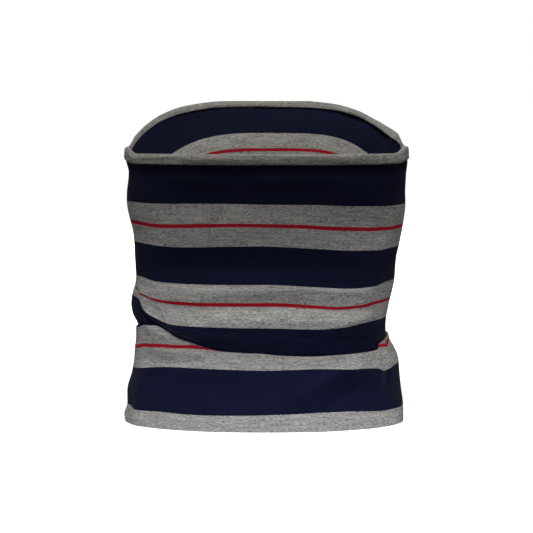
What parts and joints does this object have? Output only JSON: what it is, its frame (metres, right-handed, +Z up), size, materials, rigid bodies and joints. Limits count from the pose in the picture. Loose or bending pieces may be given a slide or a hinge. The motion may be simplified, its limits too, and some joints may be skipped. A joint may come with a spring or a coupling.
{
  "type": "neck gaiter",
  "caption": "Striped jersey neck tube, open at both ends, standing up with a raised back, a bound top edge and a slouched fold low on the front.",
  "frame": {"origin": "middle of the bounding box at the hem, on the surface the tube stands on", "axes": "+Z up through the tube from the hem to the bound edge, +X to the wearer's left as the front is looked at, +Y from the front to the raised back"},
  "size_m": [0.2271, 0.1151, 0.251],
  "materials": {
    "striped_jersey": "yarn-dyed single jersey, navy and grey heather with a fine red line in each grey stripe",
    "grey_heather_jersey": "grey heather jersey, folded over the edge",
    "seam_edge": "overlocked raw edges",
    "sewing_thread": "spun polyester thread, grey"
  },
  "bodies": {
    "root": {"body_panel": "striped_jersey", "rim_binding": "grey_heather_jersey", "side_seam": "seam_edge", "binding_thread": "sewing_thread", "hem_thread": "sewing_thread"}
  },
  "joints": []
}
